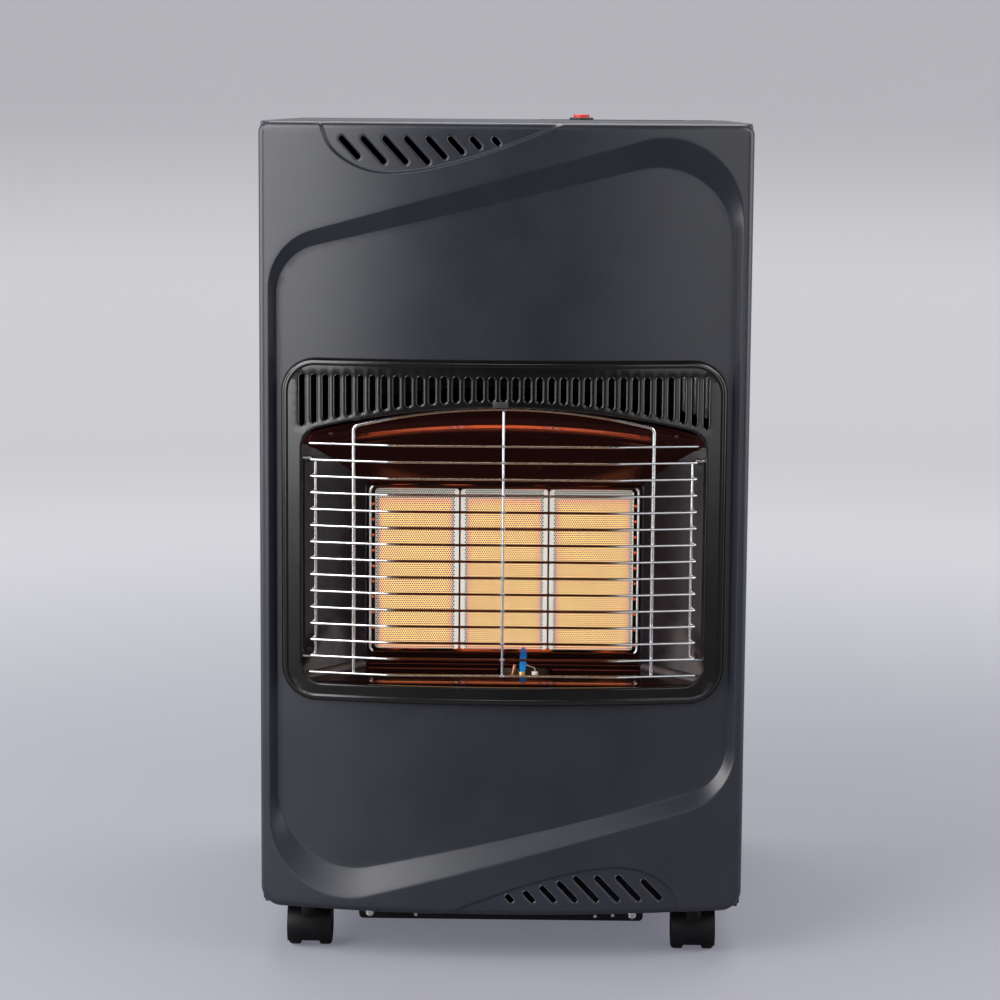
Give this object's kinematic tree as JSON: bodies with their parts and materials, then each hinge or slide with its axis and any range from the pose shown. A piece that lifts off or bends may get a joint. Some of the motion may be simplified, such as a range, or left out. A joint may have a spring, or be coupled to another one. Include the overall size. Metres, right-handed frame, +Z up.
{
  "type": "portable gas cabinet heater",
  "caption": "Upright bulged steel cabinet on castors, with radiant ceramic plaques behind a wire guard, a bay for a gas cylinder and controls on top.",
  "frame": {"origin": "on the floor, under the middle of the cabinet", "axes": "+Z up, the front with the burners faces -Y, +X to the right seen from the front"},
  "size_m": [0.42, 0.46, 0.7332],
  "materials": {
    "cabinet_paint": "satin charcoal powder coat, fine texture",
    "surround_enamel": "semi-gloss black",
    "reflector_enamel": "glossy heat-browned black",
    "inner_steel": "plain galvanised sheet",
    "hot_steel": "heat-tinted bright edge",
    "glowing_ceramic": "perforated tile, glowing orange",
    "plated_wire": "bright plated wire",
    "brass": "turned brass",
    "pipe_aluminium": "drawn tube",
    "electrode_wire": "heat-dulled wire",
    "insulator_ceramic": "white glaze",
    "sensor_copper": "copper sheath",
    "lead_rubber": "matte sleeve",
    "console_plastic": "black moulding",
    "button_red": "red cap",
    "screw_steel": "zinc plated",
    "castor_plastic": "black moulding"
  },
  "bodies": {
    "cabinet": {"front_panel": "cabinet_paint", "left_side_panel": "cabinet_paint", "right_side_panel": "cabinet_paint", "top_panel": "cabinet_paint", "base_tray": "cabinet_paint", "front_cross_bar": "cabinet_paint", "burner_surround": "surround_enamel", "reflector_upper": "reflector_enamel", "reflector_lower": "reflector_enamel", "reflector_left": "reflector_enamel", "reflector_right": "reflector_enamel", "heat_partition": "inner_steel", "burner_bracket": "inner_steel", "pilot_bracket": "inner_steel", "burner_box_left": "inner_steel", "burner_box_centre": "inner_steel", "burner_box_right": "inner_steel", "burner_frame": "hot_steel", "plaque_left": "glowing_ceramic", "plaque_centre": "glowing_ceramic", "plaque_right": "glowing_ceramic", "guard_wires": "plated_wire", "guard_uprights": "plated_wire", "guard_arch": "plated_wire", "injectors": "brass", "pilot_burner": "brass", "gas_valve": "brass", "hose_nozzle": "brass", "feed_pipe_left": "pipe_aluminium", "feed_pipe_centre": "pipe_aluminium", "feed_pipe_right": "pipe_aluminium", "pilot_pipe": "pipe_aluminium", "spark_electrode": "electrode_wire", "electrode_insulator": "insulator_ceramic", "thermocouple": "sensor_copper", "ignition_lead": "lead_rubber", "control_console": "console_plastic", "piezo_igniter": "console_plastic", "case_screws": "screw_steel"},
    "valve_plunger": {"valve_plunger": "brass"},
    "knob": {"valve_spindle": "brass", "control_knob": "console_plastic"},
    "piezo_button": {"piezo_button": "button_red"},
    "rear_cover": {"rear_cover": "cabinet_paint"},
    "castor_front_left": {"castor_front_left_hood": "castor_plastic", "castor_front_left_pins": "screw_steel"},
    "castor_front_left_wheel_left": {"castor_front_left_wheel_left": "castor_plastic"},
    "castor_front_left_wheel_right": {"castor_front_left_wheel_right": "castor_plastic"},
    "castor_front_right": {"castor_front_right_hood": "castor_plastic", "castor_front_right_pins": "screw_steel"},
    "castor_front_right_wheel_left": {"castor_front_right_wheel_left": "castor_plastic"},
    "castor_front_right_wheel_right": {"castor_front_right_wheel_right": "castor_plastic"},
    "castor_rear_left": {"castor_rear_left_hood": "castor_plastic", "castor_rear_left_pins": "screw_steel"},
    "castor_rear_left_wheel_left": {"castor_rear_left_wheel_left": "castor_plastic"},
    "castor_rear_left_wheel_right": {"castor_rear_left_wheel_right": "castor_plastic"},
    "castor_rear_right": {"castor_rear_right_hood": "castor_plastic", "castor_rear_right_pins": "screw_steel"},
    "castor_rear_right_wheel_left": {"castor_rear_right_wheel_left": "castor_plastic"},
    "castor_rear_right_wheel_right": {"castor_rear_right_wheel_right": "castor_plastic"}
  },
  "joints": [
    {"name": "knob_push", "type": "slide", "parent": "cabinet", "child": "valve_plunger", "axis": [0, 0, -1], "range_m": [0, 0.004], "stiffness_N_per_m": 2500},
    {"name": "knob_turn", "type": "hinge", "parent": "valve_plunger", "child": "knob", "pos_m": [0.138, 0.158, 0.7], "axis": [0, 0, 1], "range_deg": [-240, 0]},
    {"name": "spark_button", "type": "slide", "parent": "cabinet", "child": "piezo_button", "axis": [0, 0, -1], "range_m": [0, 0.006], "stiffness_N_per_m": 1200},
    {"name": "rear_cover_pull", "type": "slide", "parent": "cabinet", "child": "rear_cover", "axis": [0, 1, 0], "range_m": [0, 0.3]},
    {"name": "castor_front_left_swivel", "type": "hinge", "parent": "cabinet", "child": "castor_front_left", "pos_m": [-0.1696, -0.174, 0.05], "axis": [0, 0, 1], "continuous": true},
    {"name": "castor_front_left_wheel_left_spin", "type": "hinge", "parent": "castor_front_left", "child": "castor_front_left_wheel_left", "pos_m": [-0.1696, -0.16, 0.02], "axis": [1, 0, 0], "continuous": true},
    {"name": "castor_front_left_wheel_right_spin", "type": "hinge", "parent": "castor_front_left", "child": "castor_front_left_wheel_right", "pos_m": [-0.1696, -0.16, 0.02], "axis": [1, 0, 0], "continuous": true},
    {"name": "castor_front_right_swivel", "type": "hinge", "parent": "cabinet", "child": "castor_front_right", "pos_m": [0.1696, -0.174, 0.05], "axis": [0, 0, 1], "continuous": true},
    {"name": "castor_front_right_wheel_left_spin", "type": "hinge", "parent": "castor_front_right", "child": "castor_front_right_wheel_left", "pos_m": [0.1696, -0.16, 0.02], "axis": [1, 0, 0], "continuous": true},
    {"name": "castor_front_right_wheel_right_spin", "type": "hinge", "parent": "castor_front_right", "child": "castor_front_right_wheel_right", "pos_m": [0.1696, -0.16, 0.02], "axis": [1, 0, 0], "continuous": true},
    {"name": "castor_rear_left_swivel", "type": "hinge", "parent": "cabinet", "child": "castor_rear_left", "pos_m": [-0.1696, 0.176, 0.05], "axis": [0, 0, 1], "continuous": true},
    {"name": "castor_rear_left_wheel_left_spin", "type": "hinge", "parent": "castor_rear_left", "child": "castor_rear_left_wheel_left", "pos_m": [-0.1696, 0.19, 0.02], "axis": [1, 0, 0], "continuous": true},
    {"name": "castor_rear_left_wheel_right_spin", "type": "hinge", "parent": "castor_rear_left", "child": "castor_rear_left_wheel_right", "pos_m": [-0.1696, 0.19, 0.02], "axis": [1, 0, 0], "continuous": true},
    {"name": "castor_rear_right_swivel", "type": "hinge", "parent": "cabinet", "child": "castor_rear_right", "pos_m": [0.1696, 0.176, 0.05], "axis": [0, 0, 1], "continuous": true},
    {"name": "castor_rear_right_wheel_left_spin", "type": "hinge", "parent": "castor_rear_right", "child": "castor_rear_right_wheel_left", "pos_m": [0.1696, 0.19, 0.02], "axis": [1, 0, 0], "continuous": true},
    {"name": "castor_rear_right_wheel_right_spin", "type": "hinge", "parent": "castor_rear_right", "child": "castor_rear_right_wheel_right", "pos_m": [0.1696, 0.19, 0.02], "axis": [1, 0, 0], "continuous": true}
  ]
}
